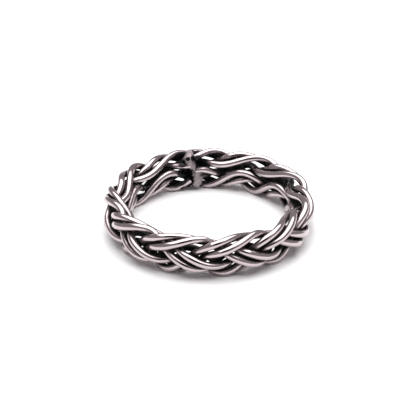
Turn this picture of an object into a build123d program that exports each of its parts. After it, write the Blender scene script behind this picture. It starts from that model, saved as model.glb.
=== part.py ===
from build123d import *
import os

import numpy as np

os.makedirs("parts", exist_ok=True)

# A finger ring made of eight round silver wires. Two wires side by side make a strand, and four
# strands are plaited into a band that is curled until its edges meet in a groove on the inside.
# The band is closed by one lump of solder. The ring lies flat: +Z is the finger's axis, z = 0 is
# the surface that it lies on, and the angles run from +X towards +Y. Lengths are in millimetres.

# Driving sizes
MEAN_RADIUS = 10.10         # from the finger's axis to the middle of the band
WIRE_RADIUS = 0.39
STRANDS = 4
PITCH = 33.6                # degrees round the ring from one strand to the next
FIRST_STRAND = 0.1          # degrees, where a lay of the first strand starts
PAIR_PITCH = 0.93           # between the middles of a strand's two wires, at the closest
PAIR_SPREAD = 1.00          # and how far apart they may lie without being drawn together
STRAND_PITCH = 0.84         # between the middles of wires of different strands
HALF_WIDTH = 1.10           # the wires' middles stay this near the mean circle, in and out
HALF_HEIGHT = 2.20          # and this near the band's middle height, up and down

# The solder, between two planes through the finger's axis
SOLDER_START = 97.0         # degrees
SOLDER_END = 110.0
SOLDER_WIDTH = 2.90         # across the band, from inside to outside
SOLDER_ROUND = 0.95         # radius of its long edges
SOLDER_RIM = 0.12           # radius round its two ends
END_GAP = 0.03              # between the solder and each wire's end

# Course of a strand over one lay. The columns are the share of the lay, how far the strand lies
# outside the mean circle and above the middle height, and where its flat side faces: 0 degrees is
# outwards, 90 upwards, 180 or -180 inwards and -90 downwards.
COURSE = [
    # share, out, up, facing
    (0.000, -0.65, 1.35, 170),      # upper lip of the groove
    (0.046, -0.10, 1.05, 120),      # under the strand that crosses the top
    (0.088, 0.45, 0.85, 45),
    (0.138, 0.90, 0.45, 5),
    (0.191, 0.98, -0.25, 0),        # down the outside, over the next strand
    (0.252, 0.75, -1.00, -25),
    (0.298, 0.20, -1.00, -60),      # back in, under the following strand
    (0.336, -0.30, -0.35, -140),
    (0.374, -0.75, 0.25, -175),     # lower lip of the groove
    (0.428, -0.98, 0.05, -180),
    (0.481, -1.00, -0.65, -180),    # down the inside
    (0.535, -0.75, -1.45, -150),
    (0.588, 0.00, -2.05, -90),      # round the bottom
    (0.634, 0.60, -1.60, -30),
    (0.680, 0.45, -0.40, 0),        # up behind the strand on the outside
    (0.726, 0.50, 0.70, 0),
    (0.779, 0.90, 1.25, 15),
    (0.848, 0.75, 1.85, 60),
    (0.917, 0.05, 2.15, 95),        # across the top
    (0.963, -0.50, 1.80, 140),
]

# How finely the course is settled and the wires are cut into straight pieces
SAMPLES = 96                # points of a lay while it settles
HARMONICS = 9               # finest wave that a wire's course keeps
WAVE_STIFFNESS = 0.05       # how much the finest wave is held back
SETTLING_STEPS = 500
PUSH = 2.0                  # how far each step moves wires that are too close
PULL = 0.1                  # and how far it draws together a strand's wires that have parted
LONGEST_PULL = 0.3          # of the parting, the most that counts
ROUNDNESS = 4               # power of the outline that holds the wires' middles
SECTIONS = 141              # cross-sections of one wire from end to end
WIRE_SIDES = 6
CORNER_RADIUS = 1.05 * WIRE_RADIUS
END_BLEND = 1.6             # length over which a wire's sections turn parallel to the solder
TINY = 1e-9

PITCH_ANGLE = np.radians(PITCH)
LAY_ANGLE = STRANDS * PITCH_ANGLE
LAY_SHARES = np.arange(SAMPLES) / SAMPLES


def unit(vectors):
    return vectors / np.linalg.norm(vectors, axis=-1, keepdims=True)


def start_course():
    """Out, up and ahead of a strand's two wires along one lay, before they settle."""
    share, out, up, facing = np.array(COURSE).T
    middle_out = np.interp(LAY_SHARES, share, out, period=1)
    middle_up = np.interp(LAY_SHARES, share, up, period=1)
    turn = np.radians(np.interp(LAY_SHARES, share, facing, period=1))
    middle = smoothed(np.stack([middle_out, middle_up, np.zeros(SAMPLES)], axis=-1)[None])[0]
    lay_before = to_space(middle, -STRANDS)
    lay = to_space(middle, 0)
    lay_after = to_space(middle, STRANDS)
    points = np.concatenate([lay_before[-1:], lay, lay_after[:1]])
    along = points[2:] - points[:-2]
    angle = LAY_ANGLE * LAY_SHARES
    outwards = np.stack([np.cos(angle), np.sin(angle), np.zeros(SAMPLES)], axis=-1)
    upwards = np.array([0, 0, 1])
    flat_side = outwards * np.cos(turn)[:, None] + upwards * np.sin(turn)[:, None]
    across = unit(np.cross(flat_side, along)) * PAIR_PITCH / 2
    return smoothed(to_course(np.array([lay + across, lay - across])))


def smoothed(course):
    """The course with its fine waves taken out, so that no wire kinks."""
    wave = np.arange(SAMPLES // 2 + 1)
    kept = np.where(wave <= HARMONICS, 1 / (1 + WAVE_STIFFNESS * (wave / HARMONICS) ** 4), 0)
    waves = np.fft.rfft(course, axis=1) * kept[:, None]
    return np.fft.irfft(waves, SAMPLES, axis=1)


def to_space(course, pitches):
    """Points in space, round the origin, of a course turned on by whole pitches."""
    out, up, ahead = np.moveaxis(course, -1, 0)
    angle = LAY_ANGLE * LAY_SHARES + ahead + PITCH_ANGLE * pitches
    radius = MEAN_RADIUS + out
    return np.stack([radius * np.cos(angle), radius * np.sin(angle), up], axis=-1)


def to_course(points):
    """Out, up and ahead of points in space."""
    angle = np.unwrap(np.arctan2(points[..., 1], points[..., 0]), axis=-1)
    out = np.hypot(points[..., 0], points[..., 1]) - MEAN_RADIUS
    return np.stack([out, points[..., 2], angle - LAY_ANGLE * LAY_SHARES], axis=-1)


def least_distances(pitch_range):
    """How close each point of a lay may come to each point of the lays round it."""
    wire = np.repeat([0, 1], SAMPLES)
    place = np.tile(np.arange(SAMPLES), 2)
    pitches = np.repeat(pitch_range, 2 * SAMPLES)
    near_wire = np.tile(wire, len(pitch_range))
    near_place = np.tile(place, len(pitch_range)) + pitches // STRANDS * SAMPLES
    along = np.abs(near_place - place[:, None])
    own_strand = pitches % STRANDS == 0
    own_wire = near_wire == wire[:, None]
    least = np.full(along.shape, STRAND_PITCH)
    least[own_strand & ~own_wire & (along < SAMPLES / 3)] = PAIR_PITCH
    least[own_strand & own_wire & (along < SAMPLES / 5)] = 0
    return least


def settled_course():
    """The course after wires too close have moved apart and parted pairs have come together."""
    pitch_range = np.arange(-STRANDS, STRANDS + 1)
    least = least_distances(pitch_range)
    rows = np.arange(2 * SAMPLES)
    course = start_course()
    best, best_score = course, np.inf
    for _ in range(SETTLING_STEPS):
        own = to_space(course, 0).reshape(-1, 3)
        near = np.concatenate([to_space(course, n).reshape(-1, 3) for n in pitch_range])
        squares = (own ** 2).sum(1)[:, None] + (near ** 2).sum(1) - 2 * own @ near.T
        distance = np.sqrt(np.maximum(squares, TINY))
        overlap = np.maximum(least - distance, 0)
        partner = np.where(least == PAIR_PITCH, distance, np.inf).argmin(1)
        partner_distance = distance[rows, partner]
        parting = np.clip(partner_distance - PAIR_SPREAD, 0, None)
        score = overlap.max() + LONGEST_PULL * parting.max()
        if score < best_score:
            best, best_score = course, score
        weight = overlap ** 2 / distance
        push = own * weight.sum(1)[:, None] - weight @ near
        push /= overlap.sum(1)[:, None] + TINY
        pull = np.minimum(parting, LONGEST_PULL) / partner_distance
        moved = own + PUSH * push + PULL * pull[:, None] * (near[partner] - own)
        course = smoothed(held_in(to_course(moved.reshape(course.shape))))
    return best


def held_in(course):
    """The course drawn back to the rounded outline of the band's section."""
    out, up = course[..., 0] / HALF_WIDTH, course[..., 1] / HALF_HEIGHT
    fullness = np.abs(out) ** ROUNDNESS + np.abs(up) ** ROUNDNESS
    held = course.copy()
    held[..., :2] *= (np.maximum(fullness, 1) ** (-1 / ROUNDNESS))[..., None]
    return held


def course_at(wire_course, shares):
    """Out, up and ahead of one wire at any shares of its lay."""
    waves = np.fft.rfft(wire_course, axis=0)[:HARMONICS + 1] / SAMPLES
    waves[1:] *= 2
    turns = np.exp(2j * np.pi * np.outer(shares, np.arange(HARMONICS + 1)))
    return (turns @ waves).real


def wire_angles(wire_course, shares, pitches):
    """Angle round the finger's axis, in radians."""
    ahead = course_at(wire_course, shares)[:, 2]
    return LAY_ANGLE * shares + ahead + PITCH_ANGLE * pitches + np.radians(FIRST_STRAND)


def wire_points(wire_course, shares, pitches):
    """Points in space on one wire's middle line, above the surface that the ring lies on."""
    out, up, _ = course_at(wire_course, shares).T
    angle = wire_angles(wire_course, shares, pitches)
    radius = MEAN_RADIUS + out
    return np.stack([radius * np.cos(angle), radius * np.sin(angle), MID_HEIGHT + up], axis=-1)


def wire_sections(wire_course, pitches):
    """Corners of a wire's cross-sections, from the solder's one face round to the other."""
    gap = END_GAP / MEAN_RADIUS
    first = np.radians(SOLDER_END) + gap
    last = np.radians(SOLDER_START) + 2 * np.pi - gap
    table = np.linspace(-1, 5, 6 * SAMPLES * 10)
    ends = np.interp([first, last], wire_angles(wire_course, table, pitches), table)
    shares = np.linspace(*ends, SECTIONS)
    step = 1e-4
    middle = wire_points(wire_course, shares, pitches)
    before = wire_points(wire_course, shares - step, pitches)
    along = unit(wire_points(wire_course, shares + step, pitches) - before)
    high = unit(np.array([0, 0, 1]) - along[:, 2:] * along)
    side = np.cross(along, high)

    # Near its ends the wire's sections turn parallel to the solder's faces
    travelled = np.concatenate([[0], np.linalg.norm(np.diff(middle, axis=0), axis=1).cumsum()])
    facing = along.copy()
    for angle, distance in ((first, travelled), (last, travelled[-1] - travelled)):
        face = np.array([-np.sin(angle), np.cos(angle), 0])
        blend = np.clip(1 - distance / END_BLEND, 0, 1)[:, None]
        facing = unit(facing * (1 - blend) + face * blend)

    sections = []
    for corner in range(WIRE_SIDES):
        turned = 2 * np.pi * corner / WIRE_SIDES
        spoke = CORNER_RADIUS * (np.cos(turned) * high + np.sin(turned) * side)
        slide = (spoke * facing).sum(1) / (along * facing).sum(1)
        sections.append(middle + spoke - slide[:, None] * along)
    return np.stack(sections, axis=1)


def triangle(*corners):
    return Face(Wire.make_polygon([tuple(corner) for corner in corners]))


def faceted_wire(sections):
    """A closed solid through a wire's cross-sections, in flat triangles."""
    faces = []
    for near, far in zip(sections[:-1], sections[1:]):
        for side in range(WIRE_SIDES):
            following = (side + 1) % WIRE_SIDES
            faces.append(triangle(near[side], far[side], far[following]))
            faces.append(triangle(near[side], far[following], near[following]))
    for end in (sections[0], sections[-1]):
        faces.append(triangle(*end))
    return Solid(Shell(faces))


COURSES = settled_course()
LOWEST, HIGHEST = COURSES[..., 1].min(), COURSES[..., 1].max()
MID_HEIGHT = CORNER_RADIUS - LOWEST
BAND_HEIGHT = HIGHEST - LOWEST + 2 * CORNER_RADIUS

# Strands, each of two wires that lie side by side
for number in range(STRANDS):
    wires = [faceted_wire(wire_sections(wire_course, number)) for wire_course in COURSES]
    with BuildPart() as strand:
        add(wires)
    strand.part.label = f"strand_{number + 1}"
    export_step(strand.part, f"parts/strand_{number + 1}.step")

# The solder holds all the wires' ends, over the band's full height
start_angle = np.radians(SOLDER_START)
solder_plane = Plane(
    origin=(0, 0, 0),
    x_dir=(np.cos(start_angle), np.sin(start_angle), 0),
    z_dir=(np.sin(start_angle), -np.cos(start_angle), 0),
)
with BuildPart() as solder_joint:
    with BuildSketch(solder_plane):
        with Locations((MEAN_RADIUS, BAND_HEIGHT / 2)):
            RectangleRounded(SOLDER_WIDTH, BAND_HEIGHT, SOLDER_ROUND)
    revolve(axis=Axis.Z, revolution_arc=SOLDER_END - SOLDER_START)
    ends = solder_joint.faces().filter_by(GeomType.PLANE).sort_by(SortBy.AREA)[-2:]
    fillet(ends.edges(), SOLDER_RIM)
solder_joint.part.label = "solder_joint"
export_step(solder_joint.part, "parts/solder_joint.step")
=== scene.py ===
import math

import bpy
import numpy as np
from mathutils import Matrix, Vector


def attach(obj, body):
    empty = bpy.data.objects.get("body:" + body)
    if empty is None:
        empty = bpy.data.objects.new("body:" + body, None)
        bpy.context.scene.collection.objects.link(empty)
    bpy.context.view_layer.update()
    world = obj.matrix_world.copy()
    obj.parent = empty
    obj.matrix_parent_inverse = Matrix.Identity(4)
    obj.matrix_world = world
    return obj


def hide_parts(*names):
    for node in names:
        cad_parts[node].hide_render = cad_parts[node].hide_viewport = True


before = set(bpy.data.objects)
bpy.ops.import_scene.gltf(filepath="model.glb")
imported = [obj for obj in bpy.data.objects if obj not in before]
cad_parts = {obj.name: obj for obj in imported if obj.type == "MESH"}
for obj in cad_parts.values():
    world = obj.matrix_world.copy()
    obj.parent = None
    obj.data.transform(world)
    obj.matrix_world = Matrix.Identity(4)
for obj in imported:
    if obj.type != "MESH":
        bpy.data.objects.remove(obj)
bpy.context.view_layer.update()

bl_info = {
    "name": "Braided Band Ring",
    "version": (1, 0, 0),
    "blender": (4, 5, 0),
    "location": "View3D > Sidebar > Ring",
    "description": "A finger ring plaited from round silver wires, lying flat",
    "category": "Object",
}

MM = 0.001

# The plait, with the sizes and the course that the ring's solids are made from, in millimetres.
# Eight round wires make four strands of two, plaited and curled until the band's edges meet in
# a groove on the inside. Angles run from +X towards +Y, and +Z is the finger's axis.
MEAN_RADIUS = 10.10         # from the finger's axis to the middle of the band
WIRE_RADIUS = 0.39
STRANDS = 4
PITCH = 33.6                # degrees round the ring from one strand to the next
FIRST_STRAND = 0.1          # degrees, where a lay of the first strand starts
PAIR_PITCH = 0.93           # between the middles of a strand's two wires, at the closest
PAIR_SPREAD = 1.00          # and how far apart they may lie without being drawn together
STRAND_PITCH = 0.84         # between the middles of wires of different strands
HALF_WIDTH = 1.10           # the wires' middles stay this near the mean circle, in and out
HALF_HEIGHT = 2.20          # and this near the band's middle height, up and down
SOLDER_START = 97.0         # degrees
SOLDER_END = 110.0
SOLDER_WIDTH = 2.90         # across the band, from inside to outside

# Course of a strand over one lay. The columns are the share of the lay, how far the strand lies
# outside the mean circle and above the middle height, and where its flat side faces: 0 degrees is
# outwards, 90 upwards, 180 or -180 inwards and -90 downwards.
COURSE = [
    # share, out, up, facing
    (0.000, -0.65, 1.35, 170),      # upper lip of the groove
    (0.046, -0.10, 1.05, 120),      # under the strand that crosses the top
    (0.088, 0.45, 0.85, 45),
    (0.138, 0.90, 0.45, 5),
    (0.191, 0.98, -0.25, 0),        # down the outside, over the next strand
    (0.252, 0.75, -1.00, -25),
    (0.298, 0.20, -1.00, -60),      # back in, under the following strand
    (0.336, -0.30, -0.35, -140),
    (0.374, -0.75, 0.25, -175),     # lower lip of the groove
    (0.428, -0.98, 0.05, -180),
    (0.481, -1.00, -0.65, -180),    # down the inside
    (0.535, -0.75, -1.45, -150),
    (0.588, 0.00, -2.05, -90),      # round the bottom
    (0.634, 0.60, -1.60, -30),
    (0.680, 0.45, -0.40, 0),        # up behind the strand on the outside
    (0.726, 0.50, 0.70, 0),
    (0.779, 0.90, 1.25, 15),
    (0.848, 0.75, 1.85, 60),
    (0.917, 0.05, 2.15, 95),        # across the top
    (0.963, -0.50, 1.80, 140),
]

# How the course settles
SAMPLES = 96                # points of a lay while it settles
HARMONICS = 9               # finest wave that a wire's course keeps
WAVE_STIFFNESS = 0.05       # how much the finest wave is held back
SETTLING_STEPS = 500
PUSH = 2.0                  # how far each step moves wires that are too close
PULL = 0.1                  # and how far it draws together a strand's wires that have parted
LONGEST_PULL = 0.3          # of the parting, the most that counts
ROUNDNESS = 4               # power of the outline that holds the wires' middles
CORNER_RADIUS = 1.05 * WIRE_RADIUS     # of the six-sided wires in the CAD, which rest on the surface
TINY = 1e-9

PITCH_ANGLE = np.radians(PITCH)
LAY_ANGLE = STRANDS * PITCH_ANGLE
LAY_SHARES = np.arange(SAMPLES) / SAMPLES

# Lumps of the solder: degrees round the ring, out from the mean circle, height and radius
SOLDER_LUMPS = [
    (99.0, -0.72, 1.00, 0.86),
    (98.8, -0.76, 1.60, 0.90),
    (99.6, -0.74, 2.20, 0.84),
    (101.0, -0.72, 2.72, 0.76),
    (102.8, -0.72, 3.22, 0.84),
    (104.4, -0.64, 3.66, 0.92),
    (103.2, -0.35, 3.98, 0.78),
    (101.2, 0.05, 0.98, 0.92),
    (101.5, 0.00, 1.80, 1.00),
    (102.0, 0.00, 2.70, 0.95),
    (102.6, 0.05, 3.50, 0.95),
    (102.2, 0.62, 1.02, 0.90),
    (101.4, 0.66, 1.65, 0.92),
    (102.4, 0.68, 2.35, 0.88),
    (102.8, 0.64, 3.05, 0.92),
    (102.2, 0.58, 3.75, 0.90),
]

# How far apart the dents in the solder's skin lie and how deep they are, large ones first
SOLDER_DENTS = [(0.9, 0.22), (0.28, 0.09)]

# The stage, in metres
FLOOR_SIDE = 1.6
CARD_SIDE = 0.1
CARD_DISTANCE = 0.16            # from the ring, on the camera's line of sight
NEAREST_SEEN = 0.005

# The camera stands where the photograph was taken from
CAMERA_ELEVATION = 28.32        # degrees above the surface
CAMERA_DISTANCE = 120.7         # millimetres from the ring's middle
CAMERA_LENS = 95.5              # on a 36 mm sensor
IMAGE_SIZE = 416                # pixels along each side
RING_MIDDLE = (208.88, 208.33)  # where the ring's middle shows, in pixels


def unit(vectors):
    return vectors / np.linalg.norm(vectors, axis=-1, keepdims=True)


def start_course():
    """Out, up and ahead of a strand's two wires along one lay, before they settle."""
    share, out, up, facing = np.array(COURSE).T
    middle_out = np.interp(LAY_SHARES, share, out, period=1)
    middle_up = np.interp(LAY_SHARES, share, up, period=1)
    turn = np.radians(np.interp(LAY_SHARES, share, facing, period=1))
    middle = smoothed(np.stack([middle_out, middle_up, np.zeros(SAMPLES)], axis=-1)[None])[0]
    lay_before = to_space(middle, -STRANDS)
    lay = to_space(middle, 0)
    lay_after = to_space(middle, STRANDS)
    points = np.concatenate([lay_before[-1:], lay, lay_after[:1]])
    along = points[2:] - points[:-2]
    angle = LAY_ANGLE * LAY_SHARES
    outwards = np.stack([np.cos(angle), np.sin(angle), np.zeros(SAMPLES)], axis=-1)
    upwards = np.array([0, 0, 1])
    flat_side = outwards * np.cos(turn)[:, None] + upwards * np.sin(turn)[:, None]
    across = unit(np.cross(flat_side, along)) * PAIR_PITCH / 2
    return smoothed(to_course(np.array([lay + across, lay - across])))


def smoothed(course):
    """The course with its fine waves taken out, so that no wire kinks."""
    wave = np.arange(SAMPLES // 2 + 1)
    kept = np.where(wave <= HARMONICS, 1 / (1 + WAVE_STIFFNESS * (wave / HARMONICS) ** 4), 0)
    waves = np.fft.rfft(course, axis=1) * kept[:, None]
    return np.fft.irfft(waves, SAMPLES, axis=1)


def to_space(course, pitches):
    """Points in space, round the origin, of a course turned on by whole pitches."""
    out, up, ahead = np.moveaxis(course, -1, 0)
    angle = LAY_ANGLE * LAY_SHARES + ahead + PITCH_ANGLE * pitches
    radius = MEAN_RADIUS + out
    return np.stack([radius * np.cos(angle), radius * np.sin(angle), up], axis=-1)


def to_course(points):
    """Out, up and ahead of points in space."""
    angle = np.unwrap(np.arctan2(points[..., 1], points[..., 0]), axis=-1)
    out = np.hypot(points[..., 0], points[..., 1]) - MEAN_RADIUS
    return np.stack([out, points[..., 2], angle - LAY_ANGLE * LAY_SHARES], axis=-1)


def least_distances(pitch_range):
    """How close each point of a lay may come to each point of the lays round it."""
    wire = np.repeat([0, 1], SAMPLES)
    place = np.tile(np.arange(SAMPLES), 2)
    pitches = np.repeat(pitch_range, 2 * SAMPLES)
    near_wire = np.tile(wire, len(pitch_range))
    near_place = np.tile(place, len(pitch_range)) + pitches // STRANDS * SAMPLES
    along = np.abs(near_place - place[:, None])
    own_strand = pitches % STRANDS == 0
    own_wire = near_wire == wire[:, None]
    least = np.full(along.shape, STRAND_PITCH)
    least[own_strand & ~own_wire & (along < SAMPLES / 3)] = PAIR_PITCH
    least[own_strand & own_wire & (along < SAMPLES / 5)] = 0
    return least


def settled_course():
    """The course after wires too close have moved apart and parted pairs have come together."""
    pitch_range = np.arange(-STRANDS, STRANDS + 1)
    least = least_distances(pitch_range)
    rows = np.arange(2 * SAMPLES)
    course = start_course()
    best, best_score = course, np.inf
    for _ in range(SETTLING_STEPS):
        own = to_space(course, 0).reshape(-1, 3)
        near = np.concatenate([to_space(course, n).reshape(-1, 3) for n in pitch_range])
        squares = (own ** 2).sum(1)[:, None] + (near ** 2).sum(1) - 2 * own @ near.T
        distance = np.sqrt(np.maximum(squares, TINY))
        overlap = np.maximum(least - distance, 0)
        partner = np.where(least == PAIR_PITCH, distance, np.inf).argmin(1)
        partner_distance = distance[rows, partner]
        parting = np.clip(partner_distance - PAIR_SPREAD, 0, None)
        score = overlap.max() + LONGEST_PULL * parting.max()
        if score < best_score:
            best, best_score = course, score
        weight = overlap ** 2 / distance
        push = own * weight.sum(1)[:, None] - weight @ near
        push /= overlap.sum(1)[:, None] + TINY
        pull = np.minimum(parting, LONGEST_PULL) / partner_distance
        moved = own + PUSH * push + PULL * pull[:, None] * (near[partner] - own)
        course = smoothed(held_in(to_course(moved.reshape(course.shape))))
    return best


def held_in(course):
    """The course drawn back to the rounded outline of the band's section."""
    out, up = course[..., 0] / HALF_WIDTH, course[..., 1] / HALF_HEIGHT
    fullness = np.abs(out) ** ROUNDNESS + np.abs(up) ** ROUNDNESS
    held = course.copy()
    held[..., :2] *= (np.maximum(fullness, 1) ** (-1 / ROUNDNESS))[..., None]
    return held


def course_at(wire_course, shares):
    """Out, up and ahead of one wire at any shares of its lay."""
    waves = np.fft.rfft(wire_course, axis=0)[:HARMONICS + 1] / SAMPLES
    waves[1:] *= 2
    turns = np.exp(2j * np.pi * np.outer(shares, np.arange(HARMONICS + 1)))
    return (turns @ waves).real


def wire_angles(wire_course, shares, pitches):
    """Angle round the finger's axis, in radians."""
    ahead = course_at(wire_course, shares)[:, 2]
    return LAY_ANGLE * shares + ahead + PITCH_ANGLE * pitches + np.radians(FIRST_STRAND)


def wire_points(wire_course, shares, pitches):
    """Points in space on one wire's middle line, above the surface that the ring lies on."""
    out, up, _ = course_at(wire_course, shares).T
    angle = wire_angles(wire_course, shares, pitches)
    radius = MEAN_RADIUS + out
    return np.stack([radius * np.cos(angle), radius * np.sin(angle), MID_HEIGHT + up], axis=-1)


COURSES = settled_course()
LOWEST, HIGHEST = COURSES[..., 1].min(), COURSES[..., 1].max()
MID_HEIGHT = CORNER_RADIUS - LOWEST
BAND_HEIGHT = HIGHEST - LOWEST + 2 * CORNER_RADIUS


def linear(hex_colour, alpha=1.0):
    """An sRGB hex colour as linear red, green, blue and alpha."""
    parts = [int(hex_colour[i:i + 2], 16) / 255 for i in (1, 3, 5)]
    bright = [((part + 0.055) / 1.055) ** 2.4 for part in parts]
    return tuple(p / 12.92 if p <= 0.04045 else b for p, b in zip(parts, bright)) + (alpha,)


def srgb_default(hex_colour):
    return linear(hex_colour)[:3]


class RingSizes(bpy.types.PropertyGroup):
    wire_radius: bpy.props.FloatProperty(
        name="Wire radius", description="Half the thickness of each round wire",
        default=WIRE_RADIUS * MM, min=0.1 * MM, unit="LENGTH")
    meeting_angle: bpy.props.FloatProperty(
        name="Meeting place", description="Where the wires' ends face each other in the solder",
        default=math.radians(102.0), subtype="ANGLE")
    meeting_gap: bpy.props.FloatProperty(
        name="Meeting gap", description="Angle left between the facing ends",
        default=math.radians(3.0), subtype="ANGLE")
    sections_per_lay: bpy.props.IntProperty(
        name="Sections", description="Cross-sections along one lay of a wire", default=150, min=40)
    solder_grain: bpy.props.FloatProperty(
        name="Solder grain", description="Size of the cells that the solder is melted from",
        default=0.07 * MM, min=0.03 * MM, unit="LENGTH")
    solder_creep: bpy.props.FloatProperty(
        name="Solder creep", description="How far the solder has run along the wires",
        default=0.9 * MM, min=0.0, unit="LENGTH")


class RingFinish(bpy.types.PropertyGroup):
    silver: bpy.props.FloatVectorProperty(
        name="Silver", description="Polished silver where it has been rubbed bright",
        default=srgb_default("#BDB1B3"), subtype="COLOR")
    dulled: bpy.props.FloatVectorProperty(
        name="Dulled silver", description="Silver at the edge of the oxide",
        default=srgb_default("#857678"), subtype="COLOR")
    oxide: bpy.props.FloatVectorProperty(
        name="Oxide", description="Black oxide left in the recesses between the wires",
        default=srgb_default("#0A0708"), subtype="COLOR")
    solder: bpy.props.FloatVectorProperty(
        name="Solder", description="Grey unpolished solder",
        default=srgb_default("#A2989A"), subtype="COLOR")
    floor: bpy.props.FloatVectorProperty(
        name="Floor", description="The pale surface that the ring lies on",
        default=srgb_default("#FFFFFF"), subtype="COLOR")


def add_node(tree, kind, settings=None, inputs=None, links=None):
    """Adds one node, sets its properties and sockets, and links sockets of it to others."""
    node = tree.nodes.new(kind)
    for name, value in (settings or {}).items():
        setattr(node, name, value)
    for name, value in (inputs or {}).items():
        node.inputs[name].default_value = value
    for name, source in (links or {}).items():
        tree.links.new(source, node.inputs[name])
    return node


def new_material(name):
    """An empty node material and its tree."""
    material = bpy.data.materials.new(name)
    material.use_nodes = True
    material.node_tree.nodes.clear()
    return material, material.node_tree


def set_ramp(node, stops):
    """Sets a colour ramp's stops, each a position and a colour."""
    elements = node.color_ramp.elements
    while len(elements) > 1:
        elements.remove(elements[-1])
    elements[0].position, elements[0].color = stops[0]
    for position, colour in stops[1:]:
        elements.new(position).color = colour


def oxidised_silver(finish):
    """Sterling silver, drawn as wire, dipped to blacken it and then rubbed bright.

    The rubbing reaches only what stands proud, so the crests are mirror bright and the recesses
    keep a dull black oxide, with a thin grey edge between.
    """
    material, tree = new_material("oxidised_sterling_silver")
    coordinates = add_node(tree, "ShaderNodeTexCoord")
    shelter = add_node(tree, "ShaderNodeAttribute", {"attribute_name": "shelter"})
    blotches = add_node(
        tree, "ShaderNodeTexNoise",
        inputs={"Scale": 1 / (0.5 * MM), "Detail": 4.0, "Roughness": 0.6},
        links={"Vector": coordinates.outputs["Object"]})
    shifted = add_node(
        tree, "ShaderNodeMath", {"operation": "MULTIPLY_ADD"},
        {1: 0.22, 2: -0.11}, {0: blotches.outputs["Fac"]})
    worn = add_node(
        tree, "ShaderNodeMath", {"operation": "ADD"},
        links={0: shelter.outputs["Fac"], 1: shifted.outputs["Value"]})
    colour = add_node(tree, "ShaderNodeValToRGB", links={"Fac": worn.outputs["Value"]})
    set_ramp(colour, [
        (0.0, (*finish.silver, 1)),
        (0.26, (*finish.silver, 1)),
        (0.36, (*finish.dulled, 1)),
        (0.46, (*finish.oxide, 1)),
    ])
    roughness = add_node(tree, "ShaderNodeValToRGB", links={"Fac": worn.outputs["Value"]})
    set_ramp(roughness, [(0.0, (0.13,) * 3 + (1,)), (0.26, (0.17,) * 3 + (1,)), (0.44, (0.6,) * 3 + (1,))])
    metal = add_node(tree, "ShaderNodeValToRGB", links={"Fac": worn.outputs["Value"]})
    set_ramp(metal, [(0.36, (1, 1, 1, 1)), (0.46, (0.1, 0.1, 0.1, 1))])
    scratches = add_node(
        tree, "ShaderNodeTexNoise",
        inputs={"Scale": 1 / (0.16 * MM), "Detail": 5.0, "Roughness": 0.55},
        links={"Vector": coordinates.outputs["Object"]})
    bump = add_node(
        tree, "ShaderNodeBump", inputs={"Strength": 0.12, "Distance": 0.02 * MM},
        links={"Height": scratches.outputs["Fac"]})
    shader = add_node(
        tree, "ShaderNodeBsdfPrincipled",
        links={"Base Color": colour.outputs["Color"], "Roughness": roughness.outputs["Color"],
               "Metallic": metal.outputs["Color"], "Normal": bump.outputs["Normal"]})
    add_node(tree, "ShaderNodeOutputMaterial", links={"Surface": shader.outputs["BSDF"]})
    return material


def grey_solder(finish):
    """Silver solder as it was left by the torch: pitted, matte, with a grey fire skin.

    Dark flux residue stays where the wires shelter it.
    """
    material, tree = new_material("matte_silver_solder")
    coordinates = add_node(tree, "ShaderNodeTexCoord")
    shelter = add_node(tree, "ShaderNodeAttribute", {"attribute_name": "shelter"})
    blotches = add_node(
        tree, "ShaderNodeTexNoise",
        inputs={"Scale": 1 / (0.5 * MM), "Detail": 5.0, "Roughness": 0.65},
        links={"Vector": coordinates.outputs["Object"]})
    shifted = add_node(
        tree, "ShaderNodeMath", {"operation": "MULTIPLY_ADD"},
        {1: 0.5, 2: -0.25}, {0: blotches.outputs["Fac"]})
    stained = add_node(
        tree, "ShaderNodeMath", {"operation": "ADD"},
        links={0: shelter.outputs["Fac"], 1: shifted.outputs["Value"]})
    colour = add_node(tree, "ShaderNodeValToRGB", links={"Fac": stained.outputs["Value"]})
    set_ramp(colour, [
        (0.20, (*finish.solder, 1)),
        (0.42, (*[c * 0.55 for c in finish.solder], 1)),
        (0.60, (*finish.oxide, 1)),
    ])
    pits = add_node(
        tree, "ShaderNodeTexNoise",
        inputs={"Scale": 1 / (0.22 * MM), "Detail": 4.0, "Roughness": 0.6},
        links={"Vector": coordinates.outputs["Object"]})
    bump = add_node(
        tree, "ShaderNodeBump", inputs={"Strength": 0.5, "Distance": 0.05 * MM},
        links={"Height": pits.outputs["Fac"]})
    shader = add_node(
        tree, "ShaderNodeBsdfPrincipled", inputs={"Metallic": 0.85, "Roughness": 0.62},
        links={"Base Color": colour.outputs["Color"], "Normal": bump.outputs["Normal"]})
    add_node(tree, "ShaderNodeOutputMaterial", links={"Surface": shader.outputs["BSDF"]})
    return material


def white_paper(finish):
    """A white paper sweep: matte, a touch of tooth."""
    material, tree = new_material("white_paper")
    coordinates = add_node(tree, "ShaderNodeTexCoord")
    tooth = add_node(
        tree, "ShaderNodeTexNoise",
        inputs={"Scale": 1 / (0.5 * MM), "Detail": 3.0},
        links={"Vector": coordinates.outputs["Object"]})
    bump = add_node(
        tree, "ShaderNodeBump", inputs={"Strength": 0.02, "Distance": 0.01 * MM},
        links={"Height": tooth.outputs["Fac"]})
    shader = add_node(
        tree, "ShaderNodeBsdfPrincipled",
        inputs={"Base Color": (*finish.floor, 1), "Roughness": 0.9, "Specular IOR Level": 0.1},
        links={"Normal": bump.outputs["Normal"]})
    add_node(tree, "ShaderNodeOutputMaterial", links={"Surface": shader.outputs["BSDF"]})
    return material


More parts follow.
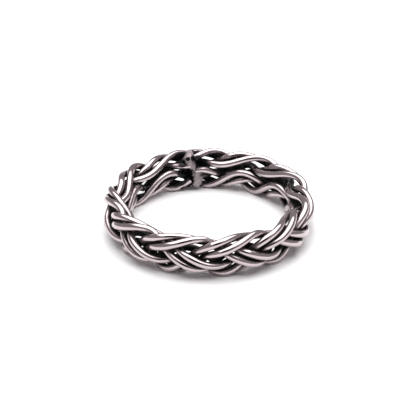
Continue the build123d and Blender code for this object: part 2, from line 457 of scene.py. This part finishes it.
def black_card_paper():
    """Black card, dead matte."""
    material, tree = new_material("black_card")
    shader = add_node(
        tree, "ShaderNodeBsdfPrincipled",
        inputs={"Base Color": linear("#0C0A0B"), "Roughness": 0.95, "Specular IOR Level": 0.1})
    add_node(tree, "ShaderNodeOutputMaterial", links={"Surface": shader.outputs["BSDF"]})
    return material


def deselect_all():
    if bpy.context.object and bpy.context.object.mode != "OBJECT":
        bpy.ops.object.mode_set(mode="OBJECT")
    bpy.ops.object.select_all(action="DESELECT")


def wire_line(wire_course, number, first, last, per_lay):
    """Points along one wire's middle line between two angles round the ring."""
    table = np.linspace(-1, 5, 6 * SAMPLES * 10)    # shares of a lay, more than once round the ring
    ends = np.interp([first, last], wire_angles(wire_course, table, number), table)
    count = round((ends[1] - ends[0]) * per_lay)
    return wire_points(wire_course, np.linspace(*ends, count), number)


def sheltering_points():
    """Points on every wire's middle line and in the solder, and how much area stands at each."""
    points, areas = [], []
    for wire_course in COURSES:
        for number in range(STRANDS):
            ends = np.radians([SOLDER_END, SOLDER_START + 360])
            line = wire_line(wire_course, number, *ends, SAMPLES)
            points.append(line)
            areas.append(2 * WIRE_RADIUS * np.linalg.norm(np.gradient(line, axis=0), axis=1))
    angle, radius, height = np.meshgrid(
        np.radians(np.linspace(SOLDER_START, SOLDER_END, 4)),
        MEAN_RADIUS + np.linspace(-0.4, 0.4, 3) * SOLDER_WIDTH,
        np.linspace(0.1, 0.9, 6) * BAND_HEIGHT)
    lump = np.stack([radius * np.cos(angle), radius * np.sin(angle), height], axis=-1)
    lump = lump.reshape(-1, 3)
    lump_area = 0.5
    points.append(lump)
    areas.append(np.full(len(lump), lump_area))
    return np.concatenate(points), np.concatenate(areas)


def shelter_of(places, normals, reach=2.6, full_facing=0.35):
    """How much of each surface point's outlook is shut off, from 0 in the open to 1."""
    points, areas = sheltering_points()
    result = np.zeros(len(places))
    chunk = 4000
    for start in range(0, len(places), chunk):
        span = points[None] - places[start:start + chunk, None]
        distance = np.linalg.norm(span, axis=-1)
        facing = (span * normals[start:start + chunk, None]).sum(-1) / distance
        seen = np.clip(facing / full_facing, 0, 1) * areas / (2 * np.pi * distance ** 2)
        result[start:start + chunk] = (seen * (distance < reach)).sum(1)
    return 1 - np.exp(-result)


def add_wire(wire_course, number, sizes):
    """One round wire, from inside the solder round to the solder again."""
    first = sizes.meeting_angle + sizes.meeting_gap / 2
    last = sizes.meeting_angle - sizes.meeting_gap / 2 + 2 * math.pi
    points = wire_line(wire_course, number, first, last, sizes.sections_per_lay) * MM
    count = len(points)
    deselect_all()
    bpy.ops.curve.primitive_nurbs_path_add()
    curve = bpy.context.object
    curve.data.splines.clear()
    spline = curve.data.splines.new("POLY")
    spline.points.add(count - 1)
    spline.points.foreach_set("co", np.c_[points, np.ones(count)].ravel())
    curve.data.dimensions = "3D"
    curve.data.twist_mode = "MINIMUM"
    curve.data.bevel_depth = sizes.wire_radius
    curve.data.bevel_resolution = 10
    curve.data.use_fill_caps = True
    bpy.ops.object.convert(target="MESH")
    return bpy.context.object


def mesh_arrays(mesh):
    """A mesh's vertices and their normals as arrays, in millimetres."""
    places = np.empty(len(mesh.vertices) * 3)
    normals = np.empty(len(mesh.vertices) * 3)
    mesh.vertices.foreach_get("co", places)
    mesh.vertices.foreach_get("normal", normals)
    return places.reshape(-1, 3) / MM, normals.reshape(-1, 3)


def add_shelter(piece):
    """Keeps each vertex's shelter on the mesh, where the oxide's pattern reads it."""
    places, normals = mesh_arrays(piece.data)
    attribute = piece.data.attributes.new("shelter", "FLOAT", "POINT")
    attribute.data.foreach_set("value", shelter_of(places, normals).astype(np.float32))


def finish_mesh(piece, smooth_angle=math.radians(40)):
    """Merges doubles, points the faces outwards and smooths them."""
    deselect_all()
    bpy.context.view_layer.objects.active = piece
    piece.select_set(True)
    bpy.ops.object.mode_set(mode="EDIT")
    bpy.ops.mesh.select_all(action="SELECT")
    bpy.ops.mesh.remove_doubles(threshold=1e-7)
    bpy.ops.mesh.normals_make_consistent(inside=False)
    bpy.ops.object.mode_set(mode="OBJECT")
    bpy.ops.object.shade_smooth_by_angle(angle=smooth_angle)


class RING_OT_strands(bpy.types.Operator):
    """Adds the four strands, each of two round wires side by side"""
    bl_idname = "ring.strands"
    bl_label = "Strands"

    def execute(self, context):
        sizes = context.scene.ring_sizes
        silver = oxidised_silver(context.scene.ring_finish)
        for number in range(STRANDS):
            wires = [add_wire(wire_course, number, sizes) for wire_course in COURSES]
            deselect_all()
            for wire in wires:
                wire.select_set(True)
            context.view_layer.objects.active = wires[0]
            bpy.ops.object.join()
            strand = context.object
            strand.name = f"strand_{number + 1}_wires"
            finish_mesh(strand)
            add_shelter(strand)
            strand.data.materials.clear()
            strand.data.materials.append(silver)
            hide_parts(f"strand_{number + 1}")
            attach(strand, "root")
        return {"FINISHED"}


def ring_place(degrees, out, height):
    """A place given round the ring, in metres."""
    angle, radius = math.radians(degrees), MEAN_RADIUS + out
    return Vector((radius * math.cos(angle), radius * math.sin(angle), height)) * MM


def add_lump(place, radius):
    bpy.ops.mesh.primitive_ico_sphere_add(subdivisions=3, radius=radius, location=place)
    return bpy.context.object


def creeping_lumps(sizes):
    """Lumps that lengthen the solder a little way along each wire, thinner as they go."""
    steps = 4
    first_reach, end_cover = 0.35, 0.4 * MM
    widest, narrowing = 1.24, 0.30
    made = []
    for wire_course in COURSES:
        for number in range(STRANDS):
            first = sizes.meeting_angle + sizes.meeting_gap / 2
            last = sizes.meeting_angle - sizes.meeting_gap / 2 + 2 * math.pi
            line = wire_line(wire_course, number, first, last, sizes.sections_per_lay) * MM
            run = np.linalg.norm(np.diff(line, axis=0), axis=1).cumsum()
            for way, travelled in ((line[1:], run), (line[-2::-1], run[-1] - run[::-1])):
                for step in range(steps):
                    reach = first_reach + (1 - first_reach) * step / (steps - 1)
                    place = way[np.searchsorted(travelled, reach * sizes.solder_creep + end_cover)]
                    thickness = widest - narrowing * step / (steps - 1)
                    made.append(add_lump(place, sizes.wire_radius * thickness))
    return made


def melt_together(pieces, grain):
    """Joins pieces into one skin and softens it."""
    deselect_all()
    for piece in pieces:
        piece.select_set(True)
    bpy.context.view_layer.objects.active = pieces[0]
    bpy.ops.object.join()
    joined = bpy.context.object
    bpy.ops.object.transform_apply(location=True, rotation=True, scale=True)
    bpy.ops.object.modifier_add(type="REMESH")
    joined.modifiers[-1].mode = "VOXEL"
    joined.modifiers[-1].voxel_size = grain
    bpy.ops.object.modifier_add(type="SMOOTH")
    joined.modifiers[-1].iterations = 6
    return joined


def roughen(piece, size, depth):
    """Presses a clouded texture into a piece's surface, inwards only."""
    texture = bpy.data.textures.new(f"clouds_{piece.name}", type="CLOUDS")
    texture.noise_scale = size
    bpy.context.view_layer.objects.active = piece
    bpy.ops.object.modifier_add(type="DISPLACE")
    displace = piece.modifiers[-1]
    displace.texture = texture
    displace.texture_coords = "LOCAL"
    displace.strength = depth
    displace.mid_level = 1.0


class RING_OT_solder(bpy.types.Operator):
    """Adds the lumpy solder that closes the band and has crept along the wires"""
    bl_idname = "ring.solder"
    bl_label = "Solder"

    def execute(self, context):
        sizes = context.scene.ring_sizes
        deselect_all()
        lumps = [add_lump(ring_place(*row[:3]), row[3] * MM) for row in SOLDER_LUMPS]
        solder = melt_together(lumps + creeping_lumps(sizes), sizes.solder_grain)
        solder.name = "solder_lump"
        for size, depth in SOLDER_DENTS:
            roughen(solder, size * MM, depth * MM)
        bpy.ops.object.convert(target="MESH")
        finish_mesh(solder, math.radians(180))
        add_shelter(solder)
        solder.data.materials.clear()
        solder.data.materials.append(grey_solder(context.scene.ring_finish))
        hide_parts("solder_joint")
        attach(solder, "root")
        return {"FINISHED"}


def line_of_sight():
    """The place that the camera looks at, and the direction from there back to it."""
    elevation = math.radians(CAMERA_ELEVATION)
    middle = Vector((0, 0, BAND_HEIGHT / 2 * MM))
    return middle, Vector((0, -math.cos(elevation), math.sin(elevation)))


def add_light(name, place, size, power, colour):
    """A soft box that faces the ring."""
    deselect_all()
    target, _ = line_of_sight()
    bpy.ops.object.light_add(type="AREA", location=place)
    light = bpy.context.object
    light.name = name
    light.rotation_euler = (target - light.location).to_track_quat("-Z", "Y").to_euler()
    light.data.shape = "RECTANGLE"
    light.data.size, light.data.size_y = size
    light.data.energy = power
    light.data.color = colour[:3]
    return light


def add_dark_card():
    """A black card behind the camera: the dark streaks along the foremost wires are its reflection."""
    middle, back = line_of_sight()
    deselect_all()
    bpy.ops.mesh.primitive_plane_add(size=CARD_SIDE, location=middle + back * CARD_DISTANCE)
    card = bpy.context.object
    card.name = "black_card"
    card.rotation_euler = back.to_track_quat("Z", "Y").to_euler()
    card.visible_camera = False
    card.data.materials.append(black_card_paper())


def add_camera(context):
    """The camera at the photograph's angle, framed so that the ring's middle shows where it did."""
    middle, back = line_of_sight()
    deselect_all()
    bpy.ops.object.camera_add(location=middle + back * CAMERA_DISTANCE * MM)
    camera = context.object
    camera.rotation_mode = "QUATERNION"
    camera.rotation_quaternion = (-back).to_track_quat("-Z", "Y")
    camera.data.lens = CAMERA_LENS
    camera.data.shift_x = (IMAGE_SIZE / 2 - RING_MIDDLE[0]) / IMAGE_SIZE
    camera.data.shift_y = (RING_MIDDLE[1] - IMAGE_SIZE / 2) / IMAGE_SIZE
    camera.data.clip_start = NEAREST_SEEN
    context.scene.camera = camera


class RING_OT_stage(bpy.types.Operator):
    """Adds the floor, the light and the camera"""
    bl_idname = "ring.stage"
    bl_label = "Stage"

    def execute(self, context):
        deselect_all()
        bpy.ops.mesh.primitive_plane_add(size=FLOOR_SIDE)
        floor = context.object
        floor.name = "paper_floor"
        floor.data.materials.append(white_paper(context.scene.ring_finish))

        world = bpy.data.worlds.new("studio")
        context.scene.world = world
        world.use_nodes = True
        background = world.node_tree.nodes["Background"]
        background.inputs["Color"].default_value = linear("#F2ECEE")
        background.inputs["Strength"].default_value = 0.40

        add_light("overhead_box", (0, 0.03, 0.34), (0.50, 0.50), 2.4, linear("#FFFFFF"))
        add_dark_card()
        add_camera(context)
        context.scene.view_settings.view_transform = "Standard"
        return {"FINISHED"}


class RING_PT_panel(bpy.types.Panel):
    """The ring's sizes, finishes and pieces"""
    bl_idname = "RING_PT_panel"
    bl_label = "Braided Band Ring"
    bl_space_type = "VIEW_3D"
    bl_region_type = "UI"
    bl_category = "Ring"

    def draw(self, context):
        for group in (context.scene.ring_sizes, context.scene.ring_finish):
            for name in group.bl_rna.properties.keys():
                if name not in ("rna_type", "name"):
                    self.layout.prop(group, name)
        for operator in PIECES:
            self.layout.operator(operator.bl_idname)


PIECES = (RING_OT_strands, RING_OT_solder, RING_OT_stage)
CLASSES = (RingSizes, RingFinish, *PIECES, RING_PT_panel)


def register():
    for made in CLASSES:
        bpy.utils.register_class(made)
    bpy.types.Scene.ring_sizes = bpy.props.PointerProperty(type=RingSizes)
    bpy.types.Scene.ring_finish = bpy.props.PointerProperty(type=RingFinish)


def unregister():
    del bpy.types.Scene.ring_finish
    del bpy.types.Scene.ring_sizes
    for made in reversed(CLASSES):
        bpy.utils.unregister_class(made)


def main():
    register()
    bpy.ops.ring.strands()
    bpy.ops.ring.solder()
    bpy.ops.ring.stage()


if __name__ == "__main__":
    main()
